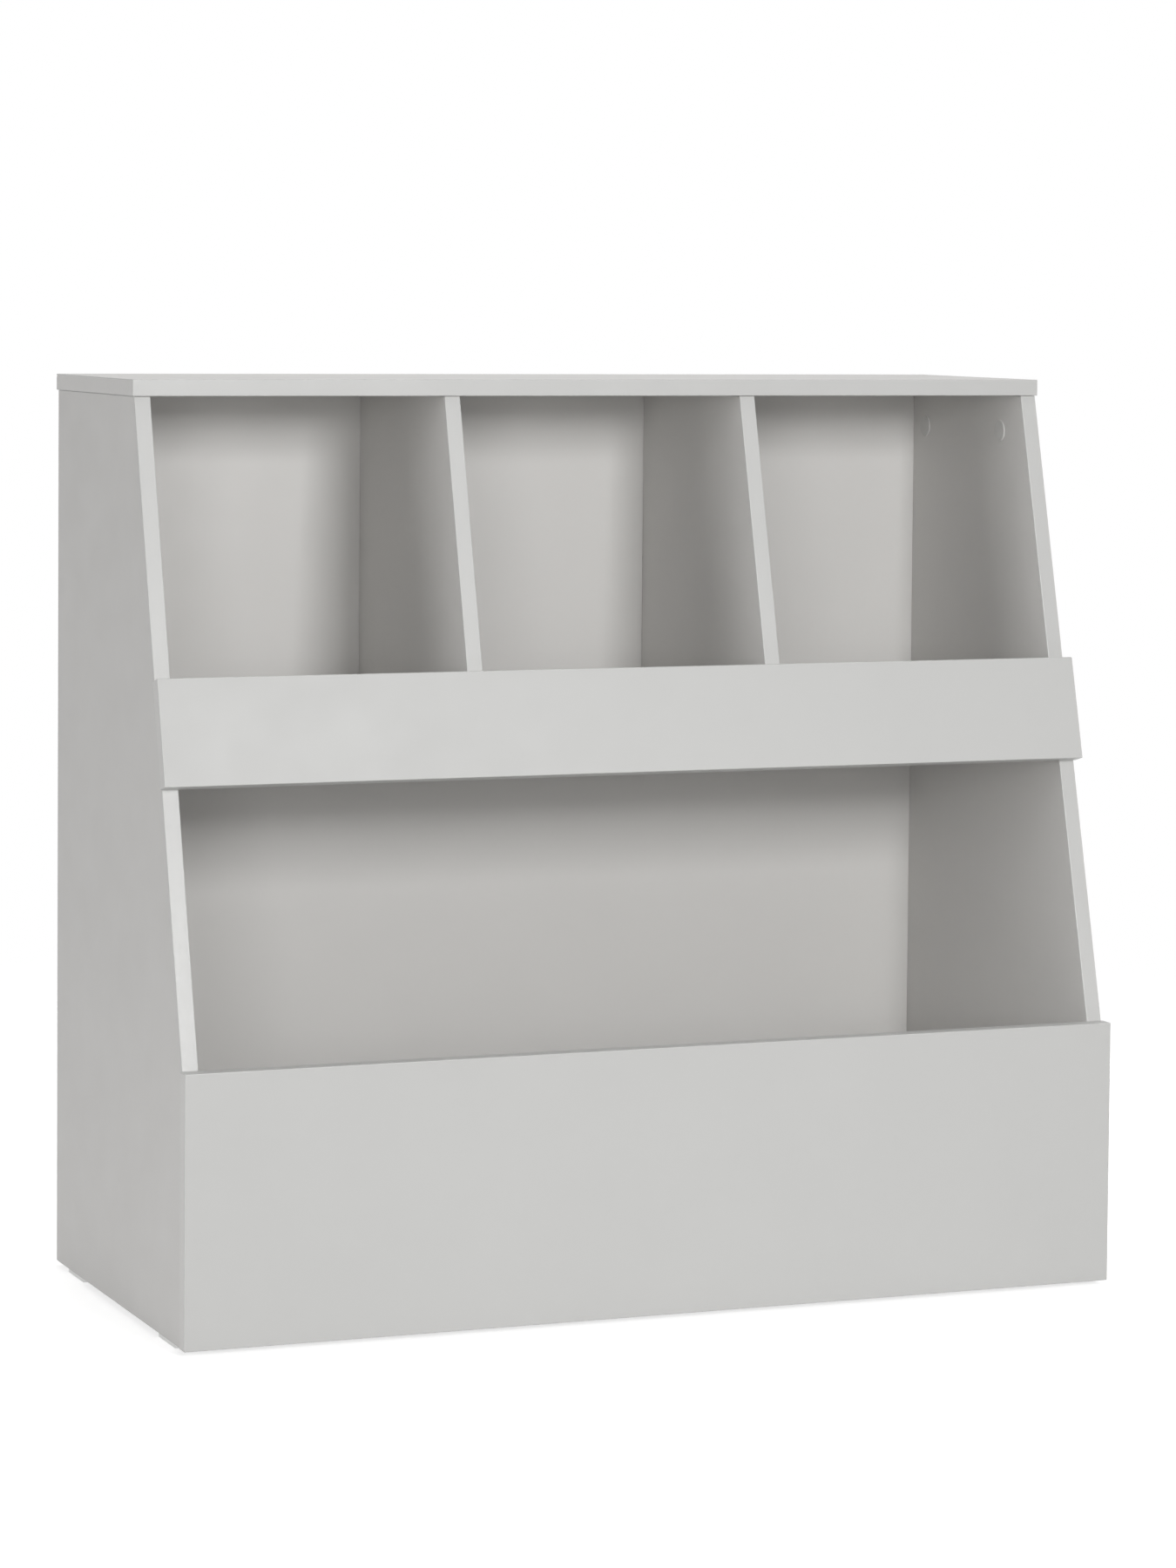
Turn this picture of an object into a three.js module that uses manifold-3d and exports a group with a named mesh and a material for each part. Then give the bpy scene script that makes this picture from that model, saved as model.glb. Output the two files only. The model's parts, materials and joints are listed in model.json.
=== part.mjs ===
// A picture book browser bin: a free-standing flat-pack unit of melamine-faced board.
// Three upper compartments behind a tilted lip stand over one wide lower bin with an upright front panel.
// Millimetres, +Z up. The front faces -Y, and the origin is on the floor under the middle of the unit.
import * as THREE from 'three';
import { mergeVertices } from 'three/addons/utils/BufferGeometryUtils.js';
import Module from 'manifold-3d';

// Overall size.
const WIDTH = 950;            // top board, upper lip and front panel, end to end
const DEPTH = 440;            // face of the front panel to the back edges
const HEIGHT = 890;           // floor to the face of the top board
const BOARD = 16;             // thickness of every board but the back panel
const SIDE_REVEAL = 2;        // the top, lip and front panel stand this far past each side
const SEAM = 0.2;             // gap between boards that meet

// Lower bin.
const FRONT_HEIGHT = 256;     // front panel, and the upright part of the sides' front edges
const FLOOR_RISE = 34;        // sides' lower edge to the underside of the bin floor

// Upper compartments.
const TOP_DEPTH = 265;        // top board, front to back
const TOP_NOSE = 2;           // the top board stands this far past the raked edges
const SHELF_HEIGHT = 516;     // floor to the underside of the shelf
const LIP_HEIGHT = 102;       // upper lip, measured up the rake
const LIP_DROP = 3.5;         // the lip's lower edge hangs this far below the underside of the shelf
const LIP_GAP = 0.3;          // lip to the raked edges

// Back panel, held in grooves in the sides, the top and the bin floor.
const BACK_BOARD = 8;
const BACK_INSET = 8;         // back edges to the rear face of the back panel
const GROOVE_DEPTH = 6;
const GROOVE_CLEAR = 0.25;

// Glides under the sides, with moulded pins.
const GLIDE_HEIGHT = 5;
const GLIDE_WIDTH = 12;
const GLIDE_LENGTH = 66;
const GLIDE_RAMP = 15;        // sloping front end
const GLIDE_FRONT_INSET = 11; // sides' front edge to the tip of the front glide
const GLIDE_REAR_INSET = 38;  // sides' back edge to the rear glide
const PIN_RADIUS = 2.5;
const PIN_LENGTH = 9;
const PIN_INSET = 12;         // from the ends of the glide's flat foot

// Cam fittings: a bolt in one board, and a cam in the next one that holds the bolt's head.
const CAM_BACKSET = 37;       // face of the bolted board to the axis of the cam
const CAM_RADIUS = 7.2;
const CAM_HOLE_RADIUS = 7.5;
const CAM_HOLE_DEPTH = 13;
const CAM_SINK = 1.2;         // the cam's face lies this far below the board's face
const CAM_TURN = 180;         // degrees from locked to open
const CORE_RADIUS = 1.9;      // solid middle of the cam
const RACE_RADIUS = 5.8;      // outside of the race that the bolt's head runs in
const CROSS_LENGTH = 8;       // driver recess
const CROSS_WIDTH = 1.4;
const CROSS_DEPTH = 2;
const BOLT_RADIUS = 2.5;
const BOLT_GRIP = 11;         // length screwed into the board
const BOLT_TIP = 1.5;         // tapered end of the screw
const COLLAR_RADIUS = 3.7;
const COLLAR_HEIGHT = 1.5;
const HEAD_RADIUS = 3.2;
const HEAD_NEAR = 2.3;        // end of the bolt's head to the axis of the cam
const HEAD_LENGTH = 2;
const BORE_RADIUS = 4;        // hole along the bolt, from the board's edge to the cam
const RUN_CLEAR = 0.4;        // cam to the bolt that it turns round
const HOLE_CLEAR = 0.15;      // hole to the screw, pin or dowel in it
const HOLE_SPARE = 0.5;       // extra depth of a blind hole

// Cover caps over the cams that show.
const CAP_RADIUS = 11;
const CAP_HEIGHT = 1.8;
const CAP_CHAMFER = 0.8;
const CAP_SPIGOT_RADIUS = 6.9;
const CAP_SPIGOT = 0.9;       // length inside the cam's hole
const CAP_GAP = 0.1;

// Places of the fittings, from the ends of the edges that they lie on.
const TOP_FITTING_INSET = 45;
const SHELF_FITTING_INSET = 60;
const FLOOR_FITTING_INSET = 70;
const FRONT_FITTING_HEIGHT = 128; // up from the front panel's lower edge
const LIP_FITTING_HEIGHT = 51;    // up the rake from the lip's lower edge

// Divider screws and dowels.
const SCREW_INSET = 70;
const SCREW_LENGTH = 45;
const SCREW_RADIUS = 2;
const SCREW_TIP = 6;
const SCREW_HEAD_RADIUS = 4;
const SCREW_HEAD_HEIGHT = 2.6;
const SCREW_SINK = 0.4;
const DOWEL_RADIUS = 4;
const DOWEL_IN_TOP = 11;
const DOWEL_IN_DIVIDER = 19;

// Facets round a small hole or screw, and round a cam or cap.
const FEW = 8;
const MANY = 16;
const OVERCUT = 1;            // a cutter reaches this far past the face that it opens

// Levels and planes that several pieces share.
const sideOuter = WIDTH / 2 - SIDE_REVEAL;
const sideInner = sideOuter - BOARD;
const sideMiddle = sideOuter - BOARD / 2;
const front = -DEPTH / 2;
const back = DEPTH / 2;
const frontPanelBack = front + BOARD;
const backPanelFront = back - BACK_INSET - BACK_BOARD;
const carcassBottom = GLIDE_HEIGHT;
const topUnderside = HEIGHT - BOARD;
const topFront = back - TOP_DEPTH;
const floorUnderside = carcassBottom + FLOOR_RISE;
const floorTop = floorUnderside + BOARD;
const shelfTop = SHELF_HEIGHT + BOARD;
const kneeY = frontPanelBack + SEAM;
const kneeZ = carcassBottom + FRONT_HEIGHT;
const sideTop = topUnderside - SEAM;
const rakeTopY = topFront + TOP_NOSE;
const rake = Math.atan2(rakeTopY - kneeY, sideTop - kneeZ);
const bay = (2 * sideInner - 2 * BOARD) / 3;
const dividerX = bay / 2 + BOARD / 2;
const rakeY = (z) => kneeY + (z - kneeZ) * Math.tan(rake);
const lipFoot = (SHELF_HEIGHT - LIP_DROP - kneeZ) / Math.cos(rake); // up the rake from the knee
const radians = THREE.MathUtils.degToRad;

const X = new THREE.Vector3(1, 0, 0);
const Y = new THREE.Vector3(0, 1, 0);
const Z = new THREE.Vector3(0, 0, 1);
const vec = (x, y, z) => new THREE.Vector3(x, y, z);

const wasm = await Module();
wasm.setup();

const unit = new THREE.Group();
unit.name = 'picture_book_browser_bin';

// Materials: one new material for every piece.
const finish = (color, roughness, metalness) => () =>
  new THREE.MeshStandardMaterial({ color, roughness, metalness });
const greyMelamine = finish(0xc8c8c6, 0.55, 0);
const paleNylon = finish(0xdcdcdc, 0.45, 0);
const greyPlastic = finish(0xbdbdbb, 0.5, 0);
const dieCastZinc = finish(0x9a9c9e, 0.4, 0.9);
const platedSteel = finish(0xb9b4a4, 0.35, 1);
const beech = finish(0xc9a877, 0.7, 0);

// Turns a closed geometry into a solid that can be joined and cut.
function solidOf(geometry, matrix = new THREE.Matrix4()) {
  const bare = new THREE.BufferGeometry();
  bare.setAttribute('position', geometry.getAttribute('position').clone());
  bare.setIndex(geometry.getIndex());
  const merged = mergeVertices(bare.applyMatrix4(matrix), 1e-4);
  const index = merged.getIndex().array;
  const corners = [];
  for (let i = 0; i < index.length; i += 3) {
    const [a, b, c] = [index[i], index[i + 1], index[i + 2]];
    if (a !== b && b !== c && c !== a) corners.push(a, b, c);
  }
  const vertProperties = new Float32Array(merged.getAttribute('position').array);
  const triVerts = new Uint32Array(corners);
  return new wasm.Manifold(new wasm.Mesh({ numProp: 3, vertProperties, triVerts }));
}

// Turns a solid back into a geometry.
function geometryOf(solid) {
  const { vertProperties, triVerts } = solid.getMesh();
  const geometry = new THREE.BufferGeometry();
  geometry.setAttribute('position', new THREE.BufferAttribute(vertProperties, 3));
  geometry.setIndex(new THREE.BufferAttribute(triVerts, 1));
  geometry.computeVertexNormals();
  return geometry;
}

// Makes a named piece and hangs it in a parent.
function piece(name, geometry, material, parent = unit) {
  const mesh = new THREE.Mesh(geometry, material());
  mesh.name = name;
  parent.add(mesh);
  return mesh;
}

// A rectangular block between two corners.
function block(low, high) {
  const size = vec(0, 0, 0).subVectors(high, low);
  const middle = vec(0, 0, 0).addVectors(low, high).multiplyScalar(0.5);
  return new THREE.BoxGeometry(size.x, size.y, size.z).translate(middle.x, middle.y, middle.z);
}

// A rectangular board between two corners, centred on its own origin.
function board(name, low, high, parent = unit) {
  const size = vec(0, 0, 0).subVectors(high, low);
  const mesh = piece(name, new THREE.BoxGeometry(size.x, size.y, size.z), greyMelamine, parent);
  mesh.position.addVectors(low, high).multiplyScalar(0.5);
  return mesh;
}

// A plate with an outline in Y and Z, of a given thickness in X and centred on X = 0.
function upright(outline, thickness) {
  const shape = new THREE.Shape(outline.map(([y, z]) => new THREE.Vector2(y, z)));
  const geometry = new THREE.ExtrudeGeometry(shape, { depth: thickness, bevelEnabled: false });
  geometry.translate(0, 0, -thickness / 2);
  return geometry.applyMatrix4(new THREE.Matrix4().makeBasis(Y, Z, X));
}

// A turned form about Z. The profile runs from the low end to the high end as [radius, z].
function turned(profile, facets) {
  const points = profile.map(([r, z]) => new THREE.Vector2(r, z));
  return new THREE.LatheGeometry(points, facets).rotateX(Math.PI / 2);
}

// A round rod about Z between two heights.
const rod = (radius, low, high, facets) =>
  turned([[0, low], [radius, low], [radius, high], [0, high]], facets);

// The holes that each board gets, kept until every fitting is placed.
const holes = new Map();
function cut(mesh, geometry, matrix = new THREE.Matrix4()) {
  if (!holes.has(mesh)) holes.set(mesh, []);
  holes.get(mesh).push({ geometry, matrix });
}

// Boards.
const sideOutline = [
  [kneeY, carcassBottom],
  [back, carcassBottom],
  [back, sideTop],
  [rakeTopY, sideTop],
  [kneeY, kneeZ],
];
const leftSide = piece('left_side', upright(sideOutline, BOARD), greyMelamine);
leftSide.position.x = -sideMiddle;
const rightSide = piece('right_side', upright(sideOutline, BOARD), greyMelamine);
rightSide.position.x = sideMiddle;

const topBoard = board(
  'top_board',
  vec(-WIDTH / 2, topFront, topUnderside),
  vec(WIDTH / 2, back, HEIGHT),
);
const frontPanel = board(
  'front_panel',
  vec(-WIDTH / 2, front, carcassBottom),
  vec(WIDTH / 2, frontPanelBack, kneeZ),
);
const binFloor = board(
  'bin_floor',
  vec(-sideInner + SEAM, frontPanelBack + SEAM, floorUnderside),
  vec(sideInner - SEAM, back, floorTop),
);
const shelf = board(
  'shelf',
  vec(-sideInner + SEAM, rakeY(shelfTop), SHELF_HEIGHT),
  vec(sideInner - SEAM, backPanelFront - SEAM, shelfTop),
);
const backReach = sideInner + GROOVE_DEPTH - GROOVE_CLEAR;
board(
  'back_panel',
  vec(-backReach, backPanelFront, floorTop - GROOVE_DEPTH + GROOVE_CLEAR),
  vec(backReach, backPanelFront + BACK_BOARD, topUnderside + GROOVE_DEPTH - GROOVE_CLEAR),
);

const dividerOutline = [
  [rakeY(shelfTop + SEAM), shelfTop + SEAM],
  [backPanelFront - SEAM, shelfTop + SEAM],
  [backPanelFront - SEAM, sideTop],
  [rakeTopY, sideTop],
];
const leftDivider = piece('left_divider', upright(dividerOutline, BOARD), greyMelamine);
leftDivider.position.x = -dividerX;
const rightDivider = piece('right_divider', upright(dividerOutline, BOARD), greyMelamine);
rightDivider.position.x = dividerX;

// The lip lies in a group that leans back with the raked edges: its Z runs up the rake.
const rakePlane = new THREE.Group();
rakePlane.position.set(0, kneeY, kneeZ);
rakePlane.rotation.x = -rake;
unit.add(rakePlane);
const upperLip = board(
  'upper_lip',
  vec(-WIDTH / 2, -LIP_GAP - BOARD, lipFoot),
  vec(WIDTH / 2, -LIP_GAP, lipFoot + LIP_HEIGHT),
  rakePlane,
);

// Grooves for the back panel.
const grooveFront = backPanelFront - GROOVE_CLEAR;
const grooveBack = backPanelFront + BACK_BOARD + GROOVE_CLEAR;
const grooveReach = sideInner + GROOVE_DEPTH;
cut(leftSide, block(
  vec(-grooveReach, grooveFront, carcassBottom - OVERCUT),
  vec(-sideInner + OVERCUT, grooveBack, sideTop + OVERCUT),
));
cut(rightSide, block(
  vec(sideInner - OVERCUT, grooveFront, carcassBottom - OVERCUT),
  vec(grooveReach, grooveBack, sideTop + OVERCUT),
));
cut(topBoard, block(
  vec(-grooveReach, grooveFront, topUnderside - OVERCUT),
  vec(grooveReach, grooveBack, topUnderside + GROOVE_DEPTH),
));
cut(binFloor, block(
  vec(-sideInner - OVERCUT, grooveFront, floorTop - GROOVE_DEPTH),
  vec(sideInner + OVERCUT, grooveBack, floorTop + OVERCUT),
));

// A ring sector in the plane of a cam's turn, as a prism along X. Angle 0 points at the bolt, along -Z.
function raceCut(inner, outer, fromDegrees, toDegrees, halfWidth) {
  const from = radians(fromDegrees);
  const to = radians(toDegrees);
  const steps = Math.ceil((Math.abs(to - from) / (2 * Math.PI)) * MANY);
  const arc = (radius, t) => new THREE.Vector2(radius * Math.cos(t), radius * Math.sin(t));
  const points = [];
  for (let i = 0; i <= steps; i += 1) points.push(arc(inner, from + ((to - from) * i) / steps));
  for (let i = steps; i >= 0; i -= 1) points.push(arc(outer, from + ((to - from) * i) / steps));
  const shape = new THREE.Shape(points);
  const geometry = new THREE.ExtrudeGeometry(shape, { depth: 2 * halfWidth, bevelEnabled: false });
  return geometry.translate(0, 0, -halfWidth).rotateY(Math.PI / 2);
}

// The cam, with its axis along X and the bolt's axis in the plane X = 0. It is shown locked: the head of the bolt
// lies at one end of the race, and the mouth that lets the head out is half a turn away.
const camFace = BOARD / 2 - CAM_SINK;
const camFoot = BOARD / 2 - CAM_HOLE_DEPTH + SEAM;
function camGeometry() {
  const headHalf = HEAD_RADIUS + RUN_CLEAR;
  const neckHalf = BOLT_RADIUS + RUN_CLEAR;
  const headSpan = THREE.MathUtils.radToDeg(Math.atan2(headHalf, HEAD_NEAR));
  const neckSpan = THREE.MathUtils.radToDeg(Math.asin(neckHalf / RACE_RADIUS)) + RUN_CLEAR;
  const past = CAM_RADIUS + OVERCUT;
  const half = CROSS_LENGTH / 2;
  const slit = CROSS_WIDTH / 2;
  const body = solidOf(rod(CAM_RADIUS, camFoot, camFace, MANY).rotateY(Math.PI / 2));
  const cuts = [
    raceCut(CORE_RADIUS, RACE_RADIUS, -CAM_TURN - headSpan, headSpan, headHalf),
    raceCut(CORE_RADIUS, past, -CAM_TURN - neckSpan, neckSpan, neckHalf),
    block(vec(-headHalf, -headHalf, HEAD_NEAR), vec(headHalf, headHalf, past)),
    block(vec(camFace - CROSS_DEPTH, -half, -slit), vec(camFace + OVERCUT, half, slit)),
    block(vec(camFace - CROSS_DEPTH, -slit, -half), vec(camFace + OVERCUT, slit, half)),
  ];
  return geometryOf(cuts.reduce((solid, tool) => solid.subtract(solidOf(tool)), body));
}

// The bolt, along Z: the screw lies below Z = 0 in its board, and the head reaches up to the cam.
const headEnd = CAM_BACKSET - HEAD_NEAR;
const boltGeometry = () => turned([
  [0, -BOLT_GRIP],
  [BOLT_RADIUS - BOLT_TIP / 2, -BOLT_GRIP],
  [BOLT_RADIUS, -BOLT_GRIP + BOLT_TIP],
  [BOLT_RADIUS, SEAM / 2],
  [COLLAR_RADIUS, SEAM / 2],
  [COLLAR_RADIUS, COLLAR_HEIGHT],
  [BOLT_RADIUS, COLLAR_HEIGHT],
  [BOLT_RADIUS, headEnd - HEAD_LENGTH],
  [HEAD_RADIUS, headEnd - HEAD_LENGTH],
  [HEAD_RADIUS, headEnd],
  [0, headEnd],
], FEW);

// The cover cap, along X, with its spigot in the mouth of the cam's hole.
const capGeometry = () => turned([
  [0, BOARD / 2 - CAP_SPIGOT],
  [CAP_SPIGOT_RADIUS, BOARD / 2 - CAP_SPIGOT],
  [CAP_SPIGOT_RADIUS, BOARD / 2 + CAP_GAP],
  [CAP_RADIUS, BOARD / 2 + CAP_GAP],
  [CAP_RADIUS, BOARD / 2 + CAP_HEIGHT - CAP_CHAMFER],
  [CAP_RADIUS - CAP_CHAMFER, BOARD / 2 + CAP_HEIGHT],
  [0, BOARD / 2 + CAP_HEIGHT],
], MANY).rotateY(Math.PI / 2);

// Places one cam fitting. "at" lies on the face of the bolted board, "into" runs from there into the board with the
// cam, and "outward" is the normal of the face that the cam is let into.
function camFitting(name, bolted, cammed, at, into, outward, capped) {
  const frame = new THREE.Matrix4()
    .makeBasis(outward, vec(0, 0, 0).crossVectors(into, outward), into)
    .setPosition(at);
  const group = new THREE.Group();
  group.applyMatrix4(frame);
  unit.add(group);
  piece(`${name}_bolt`, boltGeometry(), platedSteel, group);
  const cam = piece(`${name}_cam`, camGeometry(), dieCastZinc, group);
  cam.position.z = CAM_BACKSET;
  cut(bolted, rod(BOLT_RADIUS + HOLE_CLEAR, -BOLT_GRIP - HOLE_SPARE, OVERCUT, FEW), frame);
  cut(cammed, rod(BORE_RADIUS, -OVERCUT, CAM_BACKSET, FEW), frame);
  const camHole = rod(CAM_HOLE_RADIUS, BOARD / 2 - CAM_HOLE_DEPTH, BOARD / 2 + OVERCUT, MANY);
  cut(cammed, camHole.rotateY(Math.PI / 2).translate(0, 0, CAM_BACKSET), frame);
  if (capped) {
    const cap = piece(`${name}_cap`, capGeometry(), greyPlastic, group);
    cap.position.z = CAM_BACKSET;
  }
}

const ends = [
  { hand: 'left', side: leftSide, sign: -1, divider: leftDivider },
  { hand: 'right', side: rightSide, sign: 1, divider: rightDivider },
];
const down = vec(0, 0, -1);
const intoRake = Y.clone().applyAxisAngle(X, -rake);

for (const { hand, side, sign } of ends) {
  const toMiddle = vec(-sign, 0, 0);
  const rows = (low, high, inset) => [['front', low + inset], ['rear', high - inset]];

  for (const [row, y] of rows(rakeTopY, back, TOP_FITTING_INSET)) {
    const at = vec(sign * sideMiddle, y, topUnderside);
    camFitting(`top_${hand}_${row}`, topBoard, side, at, down, toMiddle, true);
  }
  for (const [row, y] of rows(rakeY(shelfTop), backPanelFront, SHELF_FITTING_INSET)) {
    const at = vec(sign * sideInner, y, SHELF_HEIGHT + BOARD / 2);
    camFitting(`shelf_${hand}_${row}`, side, shelf, at, toMiddle, down, false);
  }
  for (const [row, y] of rows(frontPanelBack, back, FLOOR_FITTING_INSET)) {
    const at = vec(sign * sideInner, y, floorUnderside + BOARD / 2);
    camFitting(`floor_${hand}_${row}`, side, binFloor, at, toMiddle, down, false);
  }

  rakePlane.updateMatrixWorld(true);
  const lipAt = vec(sign * sideMiddle, -LIP_GAP, lipFoot + LIP_FITTING_HEIGHT);
  rakePlane.localToWorld(lipAt);
  camFitting(`lip_${hand}`, upperLip, side, lipAt, intoRake, toMiddle, true);

  const frontAt = vec(sign * sideMiddle, frontPanelBack, carcassBottom + FRONT_FITTING_HEIGHT);
  camFitting(`front_${hand}`, frontPanel, side, frontAt, Y, toMiddle, true);
}

// Countersunk screws up through the shelf into each divider, and a dowel between the divider and the top.
const screwGeometry = () => turned([
  [0, 0],
  [SCREW_HEAD_RADIUS, 0],
  [SCREW_RADIUS, SCREW_HEAD_HEIGHT],
  [SCREW_RADIUS, SCREW_LENGTH - SCREW_TIP],
  [0, SCREW_LENGTH],
], FEW);
const screwSeat = turned([
  [0, -SCREW_SINK - OVERCUT],
  [SCREW_HEAD_RADIUS + HOLE_CLEAR, -SCREW_SINK - OVERCUT],
  [SCREW_HEAD_RADIUS + HOLE_CLEAR, HOLE_CLEAR],
  [SCREW_RADIUS + HOLE_CLEAR, SCREW_HEAD_HEIGHT + HOLE_CLEAR],
  [SCREW_RADIUS + HOLE_CLEAR, SCREW_LENGTH + HOLE_SPARE],
  [0, SCREW_LENGTH + HOLE_SPARE],
], FEW);
const dowelHole = rod(
  DOWEL_RADIUS + HOLE_CLEAR,
  -DOWEL_IN_DIVIDER - HOLE_SPARE,
  DOWEL_IN_TOP + HOLE_SPARE,
  FEW,
);

for (const { hand, divider, sign } of ends) {
  const rows = [
    ['front', rakeY(shelfTop) + SCREW_INSET],
    ['rear', backPanelFront - SCREW_INSET],
  ];
  for (const [row, y] of rows) {
    const screw = piece(`${hand}_divider_${row}_screw`, screwGeometry(), platedSteel);
    screw.position.set(sign * dividerX, y, SHELF_HEIGHT + SCREW_SINK);
    screw.updateMatrix();
    cut(shelf, screwSeat, screw.matrix);
    cut(divider, screwSeat, screw.matrix);
  }
  const dowel = piece(
    `${hand}_divider_dowel`,
    rod(DOWEL_RADIUS, -DOWEL_IN_DIVIDER, DOWEL_IN_TOP, FEW),
    beech,
  );
  dowel.position.set(sign * dividerX, (rakeTopY + backPanelFront) / 2, topUnderside);
  dowel.updateMatrix();
  cut(topBoard, dowelHole, dowel.matrix);
  cut(divider, dowelHole, dowel.matrix);
}

// Glides: a low bar with a flat foot and a sloping front end, and two pins up into the side's lower edge.
// Each is modelled with its tip at Y = 0 and its foot at Z = 0.
const glideTop = GLIDE_HEIGHT - SEAM;
const glideOutline = [
  [0, glideTop],
  [GLIDE_RAMP, 0],
  [GLIDE_LENGTH, 0],
  [GLIDE_LENGTH, glideTop],
];
const pinRows = [GLIDE_RAMP + PIN_INSET, GLIDE_LENGTH - PIN_INSET];
const glideGeometry = () => geometryOf(pinRows.reduce(
  (solid, y) => solid.add(solidOf(
    rod(PIN_RADIUS, glideTop / 2, GLIDE_HEIGHT + PIN_LENGTH, FEW).translate(0, y, 0),
  )),
  solidOf(upright(glideOutline, GLIDE_WIDTH)),
));
const pinHole = rod(
  PIN_RADIUS + HOLE_CLEAR,
  GLIDE_HEIGHT - OVERCUT,
  GLIDE_HEIGHT + PIN_LENGTH + HOLE_SPARE,
  FEW,
);

for (const { hand, side, sign } of ends) {
  const rows = [
    ['front', kneeY + GLIDE_FRONT_INSET],
    ['rear', back - GLIDE_REAR_INSET - GLIDE_LENGTH],
  ];
  for (const [row, y] of rows) {
    const glide = piece(`glide_${hand}_${row}`, glideGeometry(), paleNylon);
    glide.position.set(sign * sideMiddle, y, 0);
    glide.updateMatrix();
    for (const pinY of pinRows) cut(side, pinHole.clone().translate(0, pinY, 0), glide.matrix);
  }
}

// Cuts every board's holes and grooves, in the board's own frame.
unit.updateMatrixWorld(true);
for (const [mesh, tools] of holes) {
  const toBoard = mesh.matrixWorld.clone().invert();
  const solid = tools.reduce(
    (rest, { geometry, matrix }) => rest.subtract(solidOf(geometry, toBoard.clone().multiply(matrix))),
    solidOf(mesh.geometry),
  );
  mesh.geometry = geometryOf(solid);
}

export default unit;
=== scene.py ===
"""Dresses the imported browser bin: banded melamine boards, cam fittings, cover caps, glides and a studio."""

import json
import math

import bmesh
import bpy
from bpy.props import FloatProperty, FloatVectorProperty, IntProperty, PointerProperty
from bpy.types import NodeSocket, Operator, Panel, PropertyGroup
from mathutils import Matrix, Vector


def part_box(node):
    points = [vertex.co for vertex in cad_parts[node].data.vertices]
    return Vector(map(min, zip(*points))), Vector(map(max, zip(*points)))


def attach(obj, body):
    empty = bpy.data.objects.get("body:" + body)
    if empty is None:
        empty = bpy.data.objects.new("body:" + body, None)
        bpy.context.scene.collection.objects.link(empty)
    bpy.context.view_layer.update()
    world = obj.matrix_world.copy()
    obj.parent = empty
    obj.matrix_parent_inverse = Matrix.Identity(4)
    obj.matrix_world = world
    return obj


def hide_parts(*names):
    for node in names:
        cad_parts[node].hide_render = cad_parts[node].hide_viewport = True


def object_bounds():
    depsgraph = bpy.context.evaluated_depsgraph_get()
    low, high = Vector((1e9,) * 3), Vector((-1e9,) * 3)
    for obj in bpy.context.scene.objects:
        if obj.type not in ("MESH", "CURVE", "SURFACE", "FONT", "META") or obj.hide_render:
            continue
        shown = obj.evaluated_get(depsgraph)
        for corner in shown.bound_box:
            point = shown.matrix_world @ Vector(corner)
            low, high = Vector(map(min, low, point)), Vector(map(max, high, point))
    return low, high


bl_info = {
    "name": "Picture book browser bin",
    "version": (1, 0, 0),
    "blender": (4, 5, 0),
    "location": "3D View > Sidebar > Browser bin",
    "description": "Finishes the boards and fittings of a flat-pack browser bin and sets up its studio",
    "category": "Object",
}

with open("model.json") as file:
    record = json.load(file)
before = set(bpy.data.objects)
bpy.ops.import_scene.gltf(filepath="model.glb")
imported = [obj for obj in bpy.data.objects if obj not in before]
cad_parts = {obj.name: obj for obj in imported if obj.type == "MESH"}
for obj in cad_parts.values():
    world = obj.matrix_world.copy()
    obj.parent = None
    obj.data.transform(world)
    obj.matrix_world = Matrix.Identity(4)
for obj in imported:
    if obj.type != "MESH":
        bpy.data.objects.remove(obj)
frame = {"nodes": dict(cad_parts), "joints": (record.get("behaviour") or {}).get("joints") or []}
CAD_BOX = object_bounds()

CARCASS = "carcass"
HANDS = ("left", "right")
ROWS = ("front", "rear")
BOARDS = (
    "left_side",
    "right_side",
    "top_board",
    "shelf",
    "left_divider",
    "right_divider",
    "bin_floor",
    "upper_lip",
    "front_panel",
    "back_panel",
)
# boards that get the carcass melamine painted a shade darker, as painted shade
FRONT_BOARDS = ("upper_lip", "front_panel")
FACE, BAND, END, CORE = range(4)  # material slots of a board
MM = 0.001
TURN = 2 * math.pi
WELD = 1e-6  # corners closer than this, in metres, are one corner
LEVEL = 1e-5  # a corner this far past a face, in metres, stands proud of it
PARALLEL = 0.999  # cosine past which two directions count as one
FLAT = math.radians(0.5)  # faces that turn by less are one face
SOFTBOXES = {  # middle and side in metres, and power in watts
    "key": ((0.33, -3.65, 1.55), 0.75, 67),
    "front_left_fill": ((-2.6, -4.8, 1.2), 1.0, 42),
    "left_fill": ((-7.0, -1.5, 1.5), 2.5, 112),
    "camera_fill": ((-0.6, -5.0, 1.0), 1.6, 14),
    "rear_fill": ((0.5, 6.0, 0.44), 0.85, 185),
    "right_fill": ((6.5, 0.5, 0.44), 0.85, 165),
    "top_fill": ((0.1, 0.3, 3.6), 1.8, 36),
}


# ---------------------------------------------------------------- settings


def length(name, description, default, **limits):
    """A size in metres."""
    return FloatProperty(
        name=name, description=description, default=default, precision=5, unit="LENGTH", **limits
    )


def colour(name, description, default):
    """A linear colour."""
    return FloatVectorProperty(
        name=name, description=description, default=default, size=3, min=0, max=1, subtype="COLOR"
    )


def share(name, description, default):
    """A number from 0 to 1."""
    return FloatProperty(
        name=name, description=description, default=default, min=0, max=1, subtype="FACTOR"
    )


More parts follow.
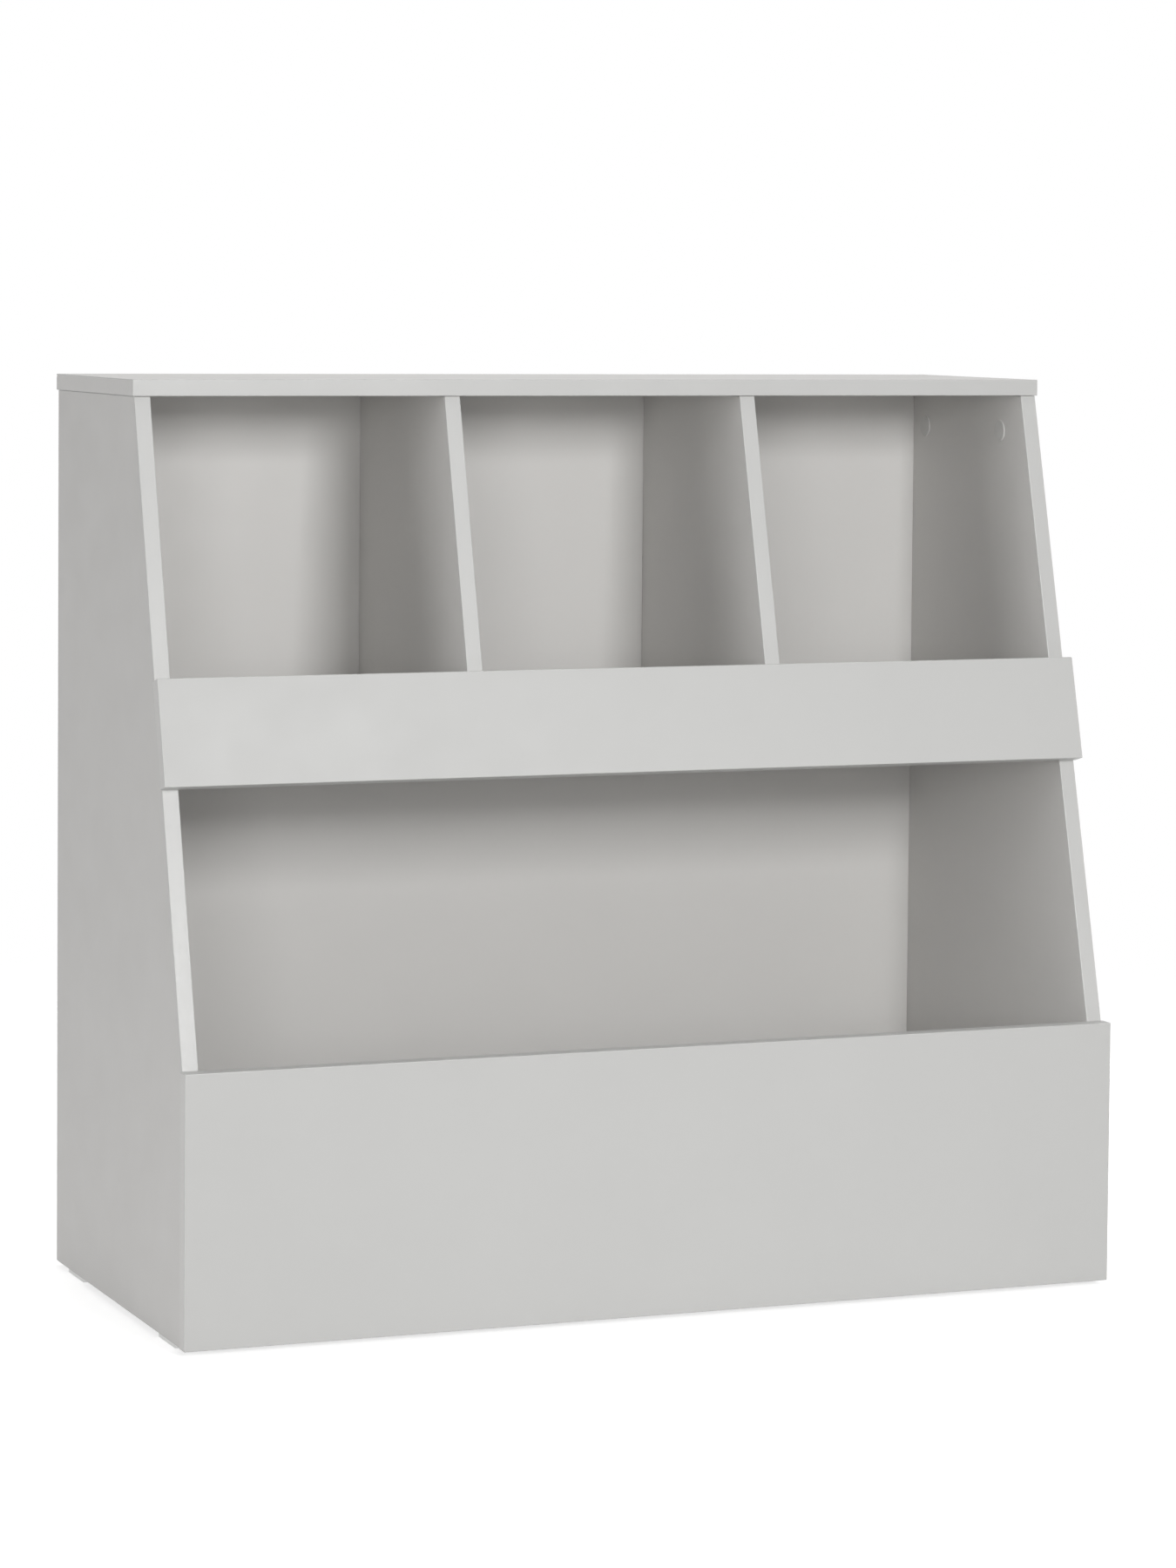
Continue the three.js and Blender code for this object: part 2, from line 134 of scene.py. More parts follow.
class BoardSettings(PropertyGroup):
    """Edges and finish of the boards."""

    arris: length("Arris radius", "Rounding of the edge bands", 0.9 * MM, min=0.1 * MM, max=2 * MM)
    arris_steps: IntProperty(
        name="Arris steps", description="Facets across each rounded arris", default=3, min=1, max=8
    )
    face_colour: colour("Face colour", "Grey of the melamine faces", (0.662, 0.652, 0.636))
    face_gloss: share("Face roughness", "Mean roughness of the melamine faces", 0.5)
    # Painted shade: the front panel and lip are the carcass melamine painted a shade darker
    front_painted_shade_colour: colour("Front colour", "Front panel and lip, a shade deeper", (0.535, 0.534, 0.523))
    # Painted shade: edge bands and rounded arrises on these edges are the melamine painted darker; the ends
    # keep the face colour
    band_painted_shade_colour: colour("Band colour", "Front, back, top and lower edges", (0.545, 0.544, 0.533))
    band_gloss: share("Band roughness", "Mean roughness of the edge bands", 0.42)
    core_colour: colour("Core colour", "Chipboard in holes, grooves and bare edges", (0.42, 0.29, 0.17))


class FittingSettings(PropertyGroup):
    """Sizes and colours of the fittings and glides."""

    board: length("Board thickness", "Board that the cams are let into", 16 * MM)
    backset: length("Cam backset", "Face of the bolted board to the axis of the cam", 37 * MM)
    cam_radius: length("Cam radius", "Outside of the cam", 7.2 * MM)
    cap_radius: length("Cap radius", "Outside of the cover cap", 11 * MM)
    cap_height: length("Cap height", "How far the cover cap stands out", 1.8 * MM)
    bolt_radius: length("Bolt radius", "Shank of the cam bolt", 2.5 * MM)
    screw_radius: length("Screw radius", "Shank of the divider screw", 2 * MM)
    dowel_radius: length("Dowel radius", "Outside of the fluted dowel", 4 * MM)
    glide_ramp: length("Glide ramp", "Length of the glide's sloping front end", 15 * MM)
    glide_height: length("Glide height", "Floor to the top of the glide's foot", 4.8 * MM)
    cap_colour: colour("Cap colour", "Moulded cover caps", (0.6, 0.596, 0.582))
    nylon_colour: colour("Nylon colour", "Moulded glides", (0.9, 0.9, 0.885))
    zinc_colour: colour("Zinc colour", "Die-cast cams", (0.52, 0.53, 0.54))
    steel_colour: colour("Steel colour", "Plated bolts and screws", (0.6, 0.58, 0.52))
    beech_colour: colour("Beech colour", "Divider dowels", (0.58, 0.4, 0.22))


class StageSettings(PropertyGroup):
    """Floor, lamps and camera."""

    floor_colour: colour("Floor colour", "Pale studio floor", (0.75, 0.75, 0.75))
    floor_glow: share("Floor glow", "White that the floor adds to its own shade", 0.66)
    floor_radius: length("Floor radius", "Middle of the unit to where the floor has faded out", 2.4)
    ambient: FloatProperty(
        name="Ambient light", description="Strength of the white surround", default=0.18, min=0
    )
    lamp_level: FloatProperty(
        name="Lamp level", description="Multiplies the power of every softbox", default=1, min=0
    )
    camera_place: FloatVectorProperty(
        name="Camera place",
        description="Viewpoint",
        default=(-1.741, -4.344, 0.98),
        subtype="XYZ",
        unit="LENGTH",
    )
    camera_heading: FloatProperty(
        name="Heading", description="Turn from straight ahead", default=math.radians(21.89), unit="ROTATION"
    )
    camera_pitch: FloatProperty(
        name="Pitch", description="Tilt above the horizon", default=math.radians(-3.15), unit="ROTATION"
    )
    camera_roll: FloatProperty(
        name="Roll", description="Turn about the line of sight", default=math.radians(-0.48), unit="ROTATION"
    )
    camera_lens: FloatProperty(
        name="Lens", description="Focal length in millimetres", default=109.26, subtype="DISTANCE_CAMERA"
    )
    camera_shift: FloatProperty(name="Shift", description="Upward shift of the lens", default=-0.15)


# --------------------------------------------------------------- materials


def add_node(tree, kind, inputs=None, **settings):
    """Adds a node, sets its options and fills or links its inputs."""
    made = tree.nodes.new(kind)
    for key, value in settings.items():
        setattr(made, key, value)
    for key, value in (inputs or {}).items():
        if isinstance(value, NodeSocket):
            tree.links.new(value, made.inputs[key])
        else:
            made.inputs[key].default_value = value
    return made


def tint(rgb, factor):
    """The colour times a factor, with alpha."""
    return (*(min(1.0, c * factor) for c in rgb), 1.0)


class Finish:
    """A procedural material on object coordinates, built up from noises."""

    def __init__(self, name):
        self.material = bpy.data.materials.new(name)
        self.material.use_nodes = True
        self.tree = self.material.node_tree
        self.shader = self.tree.nodes["Principled BSDF"]
        self.place = add_node(self.tree, "ShaderNodeTexCoord").outputs["Object"]

    def stretched(self, scale):
        """Object coordinates with a scale for each axis."""
        node = add_node(self.tree, "ShaderNodeMapping", {"Vector": self.place, "Scale": scale})
        return node.outputs["Vector"]

    def noise(self, scale, detail=2.0, roughness=0.5, vector=None):
        """Noise from 0 to 1; the scale is in grains per metre."""
        inputs = {
            "Vector": vector or self.place,
            "Scale": scale,
            "Detail": detail,
            "Roughness": roughness,
        }
        return add_node(self.tree, "ShaderNodeTexNoise", inputs).outputs["Fac"]

    def cells(self, scale):
        """Cells of one random colour each; the scale is in cells per metre."""
        inputs = {"Vector": self.place, "Scale": scale}
        return add_node(self.tree, "ShaderNodeTexVoronoi", inputs).outputs["Color"]

    def span(self, value, low, high, start=0.3, end=0.7):
        """Maps a noise onto a range."""
        inputs = {"Value": value, "From Min": start, "From Max": end, "To Min": low, "To Max": high}
        return add_node(self.tree, "ShaderNodeMapRange", inputs).outputs["Result"]

    def mix(self, factor, first, second):
        """Mixes two colours."""
        inputs = {0: factor, 6: first, 7: second}
        return add_node(self.tree, "ShaderNodeMix", inputs, data_type="RGBA").outputs[2]

    def bump(self, height, strength, distance):
        """Bump from a height."""
        inputs = {"Height": height, "Strength": strength, "Distance": distance}
        return add_node(self.tree, "ShaderNodeBump", inputs).outputs["Normal"]

    def set(self, **inputs):
        """Sets or links the shader's inputs, with spaces written as underscores."""
        for key, value in inputs.items():
            socket = self.shader.inputs[key.replace("_", " ")]
            if isinstance(value, NodeSocket):
                self.tree.links.new(value, socket)
            else:
                socket.default_value = value
        return self.material


def melamine_face(name, grey, settings):
    """Satin melamine: a fine pearl emboss, faint clouding and handling marks in the gloss."""
    finish = Finish(name)
    cloud = finish.noise(9, detail=3)
    fleck = finish.noise(1400, detail=1)
    rub = finish.noise(23, detail=4, roughness=0.6)
    shade = finish.mix(finish.span(cloud, 0, 1), tint(grey, 0.992), tint(grey, 1.008))
    shade = finish.mix(finish.span(fleck, 0, 0.02), shade, tint(grey, 0.6))
    roughness = finish.span(rub, settings.face_gloss - 0.05, settings.face_gloss + 0.05)
    pearl = finish.bump(finish.noise(900, detail=2), 0.06, 0.1 * MM)
    return finish.set(Base_Color=shade, Roughness=roughness, Normal=pearl, IOR=1.5)


def edge_band(name, grey, settings):
    """Edge band: a little smoother than the faces, with faint milling marks."""
    finish = Finish(name)
    cloud = finish.noise(14, detail=2)
    chatter = finish.noise(420, detail=1)
    shade = finish.mix(finish.span(cloud, 0, 1), tint(grey, 0.985), tint(grey, 1.015))
    roughness = finish.span(chatter, settings.band_gloss - 0.05, settings.band_gloss + 0.05)
    milled = finish.bump(chatter, 0.05, 0.1 * MM)
    return finish.set(Base_Color=shade, Roughness=roughness, Normal=milled, IOR=1.5)


def chipboard_core(settings):
    """Raw chipboard: pressed flakes of several browns, with painted shade darkening the gaps between them."""
    finish = Finish("chipboard_core")
    flakes = finish.cells(520)
    gaps = finish.noise(900, detail=3)
    shade = finish.mix(
        finish.span(flakes, 0, 1, 0.1, 0.9), tint(settings.core_colour, 0.6), tint(settings.core_colour, 1.5)
    )
    # painted shade: the gaps between the flakes are painted dark
    shade = finish.mix(finish.span(gaps, 0.5, 0, 0.35, 0.5), shade, tint(settings.core_colour, 0.25))
    rough = finish.bump(gaps, 0.5, 0.4 * MM)
    return finish.set(Base_Color=shade, Roughness=0.85, Normal=rough)


def moulded_plastic(name, rgb, roughness, grain):
    """Injection-moulded plastic with a spark-eroded grain and faint flow clouds."""
    finish = Finish(name)
    flow = finish.noise(120, detail=3)
    skin = finish.noise(grain, detail=2)
    shade = finish.mix(finish.span(flow, 0, 1), tint(rgb, 0.97), tint(rgb, 1.03))
    gloss = finish.span(skin, roughness - 0.06, roughness + 0.06)
    grained = finish.bump(skin, 0.12, 0.1 * MM)
    return finish.set(Base_Color=shade, Roughness=gloss, Normal=grained, IOR=1.48)


def cast_zinc(settings):
    """Die-cast zinc with a dull skin and darker patches."""
    finish = Finish("cast_zinc")
    patch = finish.noise(240, detail=4, roughness=0.6)
    pits = finish.noise(2600, detail=2)
    shade = finish.mix(
        finish.span(patch, 0, 1), tint(settings.zinc_colour, 0.75), tint(settings.zinc_colour, 1.1)
    )
    roughness = finish.span(patch, 0.5, 0.34)
    skin = finish.bump(pits, 0.2, 0.1 * MM)
    return finish.set(Base_Color=shade, Metallic=1.0, Roughness=roughness, Normal=skin)


def plated_steel(settings):
    """Plated steel, with a faint warm passivated stain."""
    finish = Finish("plated_steel")
    stain = finish.noise(300, detail=3)
    scratch = finish.noise(3000, detail=1)
    shade = finish.mix(
        finish.span(stain, 0, 1), tint(settings.steel_colour, 0.85), tint(settings.steel_colour, 1.12)
    )
    roughness = finish.span(scratch, 0.24, 0.36)
    skin = finish.bump(scratch, 0.08, 0.05 * MM)
    return finish.set(Base_Color=shade, Metallic=1.0, Roughness=roughness, Normal=skin)


def beech_wood(settings):
    """Beech with its grain up the dowel and short dark rays."""
    finish = Finish("beech_wood")
    grain = finish.noise(900, detail=3, vector=finish.stretched((1, 1, 0.06)))
    rays = finish.noise(2400, detail=1, vector=finish.stretched((1, 1, 0.15)))
    shade = finish.mix(
        finish.span(grain, 0, 1), tint(settings.beech_colour, 0.8), tint(settings.beech_colour, 1.2)
    )
    shade = finish.mix(finish.span(rays, 0, 0.5, 0.6, 0.75), shade, tint(settings.beech_colour, 0.45))
    return finish.set(Base_Color=shade, Roughness=0.6, Normal=finish.bump(grain, 0.2, 0.1 * MM))


# ------------------------------------------------------------------ meshes


def spun(profile, steps):
    """A turned form about Z from [radius, height] pairs, closed where the radius is 0."""
    form = bmesh.new()
    corners = [form.verts.new((r, 0, z)) for r, z in profile]
    edges = [form.edges.new(pair) for pair in zip(corners, corners[1:])]
    bmesh.ops.spin(
        form, geom=corners + edges, cent=(0, 0, 0), axis=(0, 0, 1), angle=TURN, steps=steps, use_merge=True
    )
    bmesh.ops.remove_doubles(form, verts=form.verts, dist=WELD)
    bmesh.ops.recalc_face_normals(form, faces=form.faces)
    return form


def cuboid(low, high):
    """A block between two corners."""
    low, high = Vector(low), Vector(high)
    form = bmesh.new()
    place = Matrix.Translation((low + high) / 2) @ Matrix.Diagonal((*(high - low), 1))
    bmesh.ops.create_cube(form, size=1, matrix=place)
    return form


def ring_sector(inner, outer, half, start, end):
    """A ring sector about X, with angle 0 along -Z, for cutting a cam's race."""
    form = bmesh.new()
    section = ((-half, inner), (half, inner), (half, outer), (-half, outer))
    face = form.faces.new([form.verts.new((x, 0, -r)) for x, r in section])
    turn = math.radians(start)
    bmesh.ops.rotate(form, cent=(0, 0, 0), matrix=Matrix.Rotation(turn, 3, "X"), verts=form.verts)
    sweep = math.radians(end - start)
    bmesh.ops.spin(
        form,
        geom=[face, *face.edges, *face.verts],
        cent=(0, 0, 0),
        axis=(1, 0, 0),
        angle=sweep,
        steps=40,
    )
    bmesh.ops.recalc_face_normals(form, faces=form.faces)
    return form


def turned_by(form, matrix):
    """Moves a form."""
    bmesh.ops.transform(form, matrix=matrix, verts=form.verts)
    return form


def round_edges(form, edges, radius, steps):
    """Rounds edges, and returns the new faces."""
    made = bmesh.ops.bevel(
        form,
        geom=edges,
        offset=radius,
        offset_type="OFFSET",
        segments=steps,
        profile=0.5,
        affect="EDGES",
        material=-1,
        clamp_overlap=True,
        loop_slide=True,
    )
    return made["faces"]


def keep_within(form, low, high):
    """Draws in corners that rounding has pushed past a box."""
    for corner in form.verts:
        corner.co = [min(max(c, a), b) for c, a, b in zip(corner.co, low, high)]


def sharp_edges(form, angle):
    """The edges that turn by more than an angle in degrees."""
    limit = math.radians(angle)
    return [e for e in form.edges if e.is_manifold and e.calc_face_angle() > limit]


def joined(form, tools, operation):
    """Cuts the tools from a form, or adds them to it."""
    scratch = []
    for step in (form, *tools):
        mesh = bpy.data.meshes.new("cutting")
        step.to_mesh(mesh)
        step.free()
        scratch.append(bpy.data.objects.new("cutting", mesh))
        bpy.context.scene.collection.objects.link(scratch[-1])
    for tool in scratch[1:]:
        step = scratch[0].modifiers.new("cut", "BOOLEAN")
        step.operation = operation
        step.solver = "EXACT"
        step.object = tool
    shaped = scratch[0].evaluated_get(bpy.context.evaluated_depsgraph_get())
    result = bmesh.new()
    result.from_mesh(shaped.to_mesh())
    shaped.to_mesh_clear()
    for rough in scratch:
        mesh = rough.data
        bpy.data.objects.remove(rough)
        bpy.data.meshes.remove(mesh)
    bmesh.ops.remove_doubles(result, verts=result.verts, dist=WELD / 10)
    bmesh.ops.dissolve_degenerate(result, dist=WELD / 10, edges=result.edges)
    return result


def add_piece(name, form, materials, body, node, crease=40.0):
    """Makes an object of a form that stands for a CAD node and rides on its body."""
    for edge in form.edges:
        edge.smooth = edge.is_manifold and edge.calc_face_angle() < math.radians(crease)
    for face in form.faces:
        face.smooth = True
    mesh = bpy.data.meshes.new(name)
    form.to_mesh(mesh)
    form.free()
    for material in materials:
        mesh.materials.append(material)
    piece = bpy.data.objects.new(name, mesh)
    bpy.context.scene.collection.objects.link(piece)
    flatten = piece.modifiers.new("Flat faces", "WEIGHTED_NORMAL")
    flatten.keep_sharp = True
    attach(piece, body)
    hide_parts(node)
    return piece


def middle(node):
    """The middle of a CAD node's corners."""
    corners = [v.co for v in frame["nodes"][node].data.vertices]
    return sum(corners, Vector()) / len(corners)


def fitting_places():
    """Each cam fitting's name and frame: X out of the board's face, Z along the bolt, on the cam's axis."""
    places = {}
    for joint in frame["joints"]:
        name = joint["child"].removesuffix("_cam")
        axis = Vector(joint["pos_m"])
        outward = Vector(joint["axis"]).normalized()
        along = axis - middle(f"{name}_bolt")
        along = (along - outward * along.dot(outward)).normalized()
        turn = Matrix((outward, along.cross(outward), along)).transposed()
        places[name] = Matrix.Translation(axis) @ turn.to_4x4()
    return places


# --------------------------------------------------------------- operators


class BROWSERBIN_OT_boards(Operator):
    """Rounds the boards' edges and gives them melamine faces, edge bands and raw cores"""

    bl_idname = "browser_bin.boards"
    bl_label = "Boards"

    def execute(self, context):
        settings = context.scene.browser_bin_boards
        carcass_face = melamine_face("melamine_face", settings.face_colour, settings)
        # painted shade: a darker copy of the face melamine for the front panel and lip
        painted_shade_front_face = melamine_face("melamine_front_painted_shade", settings.front_painted_shade_colour, settings)
        edges = [
            # painted shade: the banded edges and arrises get a darker copy of the melamine
            edge_band("edge_band", settings.band_painted_shade_colour, settings),
            edge_band("end_band", settings.face_colour, settings),
            chipboard_core(settings),
        ]
        for node in BOARDS:
            form = bmesh.new()
            form.from_mesh(frame["nodes"][node].data)
            bmesh.ops.remove_doubles(form, verts=form.verts, dist=WELD)
            bmesh.ops.dissolve_limit(form, angle_limit=FLAT, verts=form.verts, edges=form.edges)
            self.sort_faces(form)
            outer = {FACE, BAND, END}
            arrises = [
                e
                for e in sharp_edges(form, 10)
                if {f.material_index for f in e.link_faces} <= outer
            ]
            for face in round_edges(form, arrises, settings.arris, settings.arris_steps):
                face.material_index = BAND
            keep_within(form, *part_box(node))
            # the front panel and lip take the painted-shade copy of the melamine
            finishes = [painted_shade_front_face if node in FRONT_BOARDS else carcass_face, *edges]
            add_piece(f"{node}_banded", form, finishes, CARCASS, node)
        return {"FINISHED"}

    @staticmethod
    def sort_faces(form):
        """Marks the broad faces, the banded edges and ends, and the bare holes and grooves."""
        corners = [v.co.copy() for v in form.verts]

        def is_outer(face):
            level = face.verts[0].co.dot(face.normal)
            return all(c.dot(face.normal) < level + LEVEL for c in corners)

        outer = {face for face in form.faces if is_outer(face)}
        broad = max(outer, key=lambda face: face.calc_area()).normal.copy()
        for face in form.faces:
            if face not in outer:
                face.material_index = CORE
            elif abs(face.normal.dot(broad)) > PARALLEL:
                face.material_index = FACE
            elif abs(face.normal.x) > PARALLEL:
                face.material_index = END
            else:
                face.material_index = BAND


class BROWSERBIN_OT_cover_caps(Operator):
    """Moulds the cover caps over the cams in the sides, lip and front panel"""

    bl_idname = "browser_bin.cover_caps"
    bl_label = "Cover caps"

    def execute(self, context):
        settings = context.scene.browser_bin_fittings
        plastic = moulded_plastic("cap_plastic", settings.cap_colour, roughness=0.36, grain=1900)
        face = settings.board / 2
        radius, top = settings.cap_radius, face + settings.cap_height
        plug, foot, seat = 6.9 * MM, face - 0.9 * MM, face + 0.1 * MM
        shoulder, crown = top - 0.25 * MM, top - 0.05 * MM
        profile = [
            (0, foot),
            (plug - 0.6 * MM, foot),
            (plug, foot + 0.5 * MM),
            (plug, seat),
            (radius, seat),
            (radius, shoulder),
            (radius * 0.55, crown),
            (0, top),
        ]
        for name, place in fitting_places().items():
            node = f"{name}_cap"
            if node not in frame["nodes"]:
                continue
            form = spun(profile, 64)
            rim = [e for e in sharp_edges(form, 60) if self.on_rim(e, radius, shoulder - 0.05 * MM)]
            round_edges(form, rim, 0.35 * MM, 3)
            turned_by(form, place @ Matrix.Rotation(math.pi / 2, 4, "Y"))
            add_piece(f"{node}_cover", form, [plastic], CARCASS, node)
        return {"FINISHED"}

    @staticmethod
    def on_rim(edge, radius, height):
        """Whether an edge lies round the cap's outer rim."""
        return all(v.co.z > height and v.co.xy.length > radius * 0.99 for v in edge.verts)


class BROWSERBIN_OT_cam_locks(Operator):
    """Casts the cams, with their race, mouth and driver cross"""

    bl_idname = "browser_bin.cam_locks"
    bl_label = "Cam locks"

    def execute(self, context):
        settings = context.scene.browser_bin_fittings
        zinc = cast_zinc(settings)
        for name, place in fitting_places().items():
            node = f"{name}_cam"
            form = turned_by(self.cam(settings), place)
            add_piece(f"{node}_lock", form, [zinc], node, node, crease=30)
        return {"FINISHED"}

    @staticmethod
    def cam(settings):
        """One cam, locked, with its axis along X and the bolt coming in along -Z."""
        radius = settings.cam_radius
        surface = settings.board / 2
        foot, face = surface - 12.8 * MM, surface - 1.2 * MM
        lead, arris = 0.6 * MM, 0.4 * MM  # chamfers at the foot and the face
        profile = [
            (0, foot),
            (radius - lead, foot),
            (radius, foot + lead),
            (radius, face - arris),
            (radius - arris, face),
            (0, face),
        ]
        body = turned_by(spun(profile, 48), Matrix.Rotation(math.pi / 2, 4, "Y"))
        head, neck = 3.6 * MM, 2.9 * MM  # half the race's width inside and at its lips
        core, race, past = 1.9 * MM, 5.8 * MM, radius + MM  # race's two radii, and one clear of the cam
        race_ends, mouth_ends = (-237.4, 57.4), (-210.4, 30.4)  # in degrees from the bolt
        slit, arm, deep = 0.7 * MM, 4 * MM, 2 * MM  # driver cross
        tools = [
            ring_sector(core, race, head, *race_ends),
            ring_sector(core, past, neck, *mouth_ends),
            cuboid((-head, -head, 2.3 * MM), (head, head, past)),
            cuboid((face - deep, -arm, -slit), (face + MM, arm, slit)),
            cuboid((face - deep, -slit, -arm), (face + MM, slit, arm)),
        ]
        return joined(body, tools, "DIFFERENCE")


class BROWSERBIN_OT_cam_bolts(Operator):
    """Turns the cam bolts, with their thread, collar and head"""

    bl_idname = "browser_bin.cam_bolts"
    bl_label = "Cam bolts"

    def execute(self, context):
        settings = context.scene.browser_bin_fittings
        steel = plated_steel(settings)
        for name, place in fitting_places().items():
            node = f"{name}_bolt"
            form = turned_by(self.bolt(settings), place @ Matrix.Translation((0, 0, -settings.backset)))
            add_piece(f"{node}_turned", form, [steel], CARCASS, node, crease=25)
        return {"FINISHED"}

    @staticmethod
    def bolt(settings):
        """One bolt along Z, with its collar on the face of its board."""
        radius, root, pitch = settings.bolt_radius, settings.bolt_radius - 0.55 * MM, 1.5 * MM
        collar, head = 3.7 * MM, 3.2 * MM  # radii
        tip, end = -11 * MM, settings.backset - 2.3 * MM
        profile = [(0, tip), (1.2 * MM, tip)]
        height = tip + 1 * MM
        while height + pitch < -0.6 * MM:
            profile += [(root, height), (radius, height + pitch / 2)]
            height += pitch
        profile += [
            (root, height),
            (radius, height + 0.4 * MM),
            (radius, 0.1 * MM),
            (collar, 0.1 * MM),
            (collar, 1.1 * MM),
            (collar - 0.4 * MM, 1.5 * MM),
            (radius, 1.5 * MM),
            (radius, end - 2 * MM),
            (head - 0.3 * MM, end - 2 * MM),
            (head, end - 1.7 * MM),
            (head, end - 0.6 * MM),
            (head - 0.6 * MM, end),
            (0, end),
        ]
        return spun(profile, 40)


class BROWSERBIN_OT_divider_screws(Operator):
    """Turns the countersunk screws that hold the dividers to the shelf"""

    bl_idname = "browser_bin.divider_screws"
    bl_label = "Divider screws"

    def execute(self, context):
        settings = context.scene.browser_bin_fittings
        steel = bpy.data.materials["plated_steel"]
        radius, root, pitch = settings.screw_radius, settings.screw_radius - 0.5 * MM, 1.8 * MM
        head, plain = 4 * MM, 11 * MM  # radius of the countersunk head, and where the thread starts
        slit, arm, deep = 0.55 * MM, 2.2 * MM, 1.5 * MM  # driver cross
        for hand in HANDS:
            for row in ROWS:
                node = f"{hand}_divider_{row}_screw"
                low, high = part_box(node)
                tall = high.z - low.z
                profile = [
                    (0, 0),
                    (head - 0.3 * MM, 0),
                    (head, 0.3 * MM),
                    (radius, 2.6 * MM),
                    (radius, plain),
                ]
                height = plain + MM
                while height + pitch < tall - 6 * MM:
                    profile += [(root, height), (radius, height + pitch / 2)]
                    height += pitch
                profile += [(root, height), (radius * 0.7, tall - 4 * MM), (0, tall)]
                cross = [
                    cuboid((-arm, -slit, -MM), (arm, slit, deep)),
                    cuboid((-slit, -arm, -MM), (slit, arm, deep)),
                ]
                form = joined(spun(profile, 40), cross, "DIFFERENCE")
                centre = (low + high) / 2
                turned_by(form, Matrix.Translation((centre.x, centre.y, low.z)))
                add_piece(f"{node}_turned", form, [steel], CARCASS, node, crease=25)
        return {"FINISHED"}


class BROWSERBIN_OT_divider_dowels(Operator):
    """Mills the fluted dowels between the dividers and the top"""

    bl_idname = "browser_bin.divider_dowels"
    bl_label = "Divider dowels"

    def execute(self, context):
        settings = context.scene.browser_bin_fittings
        beech = beech_wood(settings)
        flutes, flute_share, chamfer_share = 20, 0.92, 0.84
        for hand in HANDS:
            node = f"{hand}_divider_dowel"
            low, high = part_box(node)
            form = bmesh.new()
            made = bmesh.ops.create_circle(
                form, cap_ends=True, segments=3 * flutes, radius=settings.dowel_radius
            )
            for i, corner in enumerate(made["verts"]):
                if i % 3 == 0:
                    corner.co *= flute_share
            bmesh.ops.scale(form, vec=(chamfer_share, chamfer_share, 1), verts=form.verts)
            tall, chamfer = high.z - low.z, 1.2 * MM
            end = form.faces[:]
            steps = ((chamfer, 1 / chamfer_share), (tall - 2 * chamfer, 1), (chamfer, chamfer_share))
            for rise, grow in steps:
                made = bmesh.ops.extrude_face_region(form, geom=end)["geom"]
                ring = [v for v in made if isinstance(v, bmesh.types.BMVert)]
                if end[0].calc_center_median().z > 0.5 * MM:
                    bmesh.ops.delete(form, geom=end, context="FACES_ONLY")
                bmesh.ops.translate(form, vec=(0, 0, rise), verts=ring)
                bmesh.ops.scale(form, vec=(grow, grow, 1), verts=ring)
                end = [f for f in made if isinstance(f, bmesh.types.BMFace)]
            bmesh.ops.recalc_face_normals(form, faces=form.faces)
            centre = (low + high) / 2
            turned_by(form, Matrix.Translation((centre.x, centre.y, low.z)))
            add_piece(f"{node}_fluted", form, [beech], CARCASS, node, crease=35)
        return {"FINISHED"}


class BROWSERBIN_OT_glides(Operator):
    """Moulds the nail-on glides under the sides"""

    bl_idname = "browser_bin.glides"
    bl_label = "Glides"

    def execute(self, context):
        settings = context.scene.browser_bin_fittings
        nylon = moulded_plastic("glide_nylon", settings.nylon_colour, roughness=0.4, grain=1300)
        for hand in HANDS:
            for row in ROWS:
                node = f"glide_{hand}_{row}"
                low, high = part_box(node)
                form = self.glide(settings, high - low)
                turned_by(form, Matrix.Translation(((low.x + high.x) / 2, low.y, low.z)))
                add_piece(f"{node}_foot", form, [nylon], CARCASS, node, crease=35)
        return {"FINISHED"}

    @staticmethod
    def glide(settings, size):
        """One glide with its tip at Y = 0, its foot at Z = 0 and its pins up into the board."""
        top, ramp = settings.glide_height, settings.glide_ramp
        form = bmesh.new()
        outline = ((0, top), (0, top - MM), (ramp, 0), (size.y, 0), (size.y, top))
        face = form.faces.new([form.verts.new((-size.x / 2, y, z)) for y, z in outline])
        made = bmesh.ops.extrude_face_region(form, geom=[face])["geom"]
        far = [v for v in made if isinstance(v, bmesh.types.BMVert)]
        bmesh.ops.translate(form, vec=(size.x, 0, 0), verts=far)
        bmesh.ops.recalc_face_normals(form, faces=form.faces)
        round_edges(form, sharp_edges(form, 10), 0.6 * MM, 3)
        pins, dents = [], []
        inset, root, shank = 12 * MM, 2 * MM, 2.5 * MM  # pins: from the foot's ends, start and radius
        mouth, hollow = 2.6 * MM, 0.8 * MM  # dents in the foot under the pins: radius and depth
        for y in (ramp + inset, size.y - inset):
            pin = [
                (0, root),
                (shank, root),
                (shank, size.z - MM),
                (shank - 0.7 * MM, size.z),
                (0, size.z),
            ]
            pins.append(turned_by(spun(pin, 32), Matrix.Translation((0, y, 0))))
            dent = [(0, -MM), (mouth, -MM), (mouth - 0.4 * MM, hollow), (0, hollow)]
            dents.append(turned_by(spun(dent, 32), Matrix.Translation((0, y, 0))))
        return joined(joined(form, pins, "UNION"), dents, "DIFFERENCE")


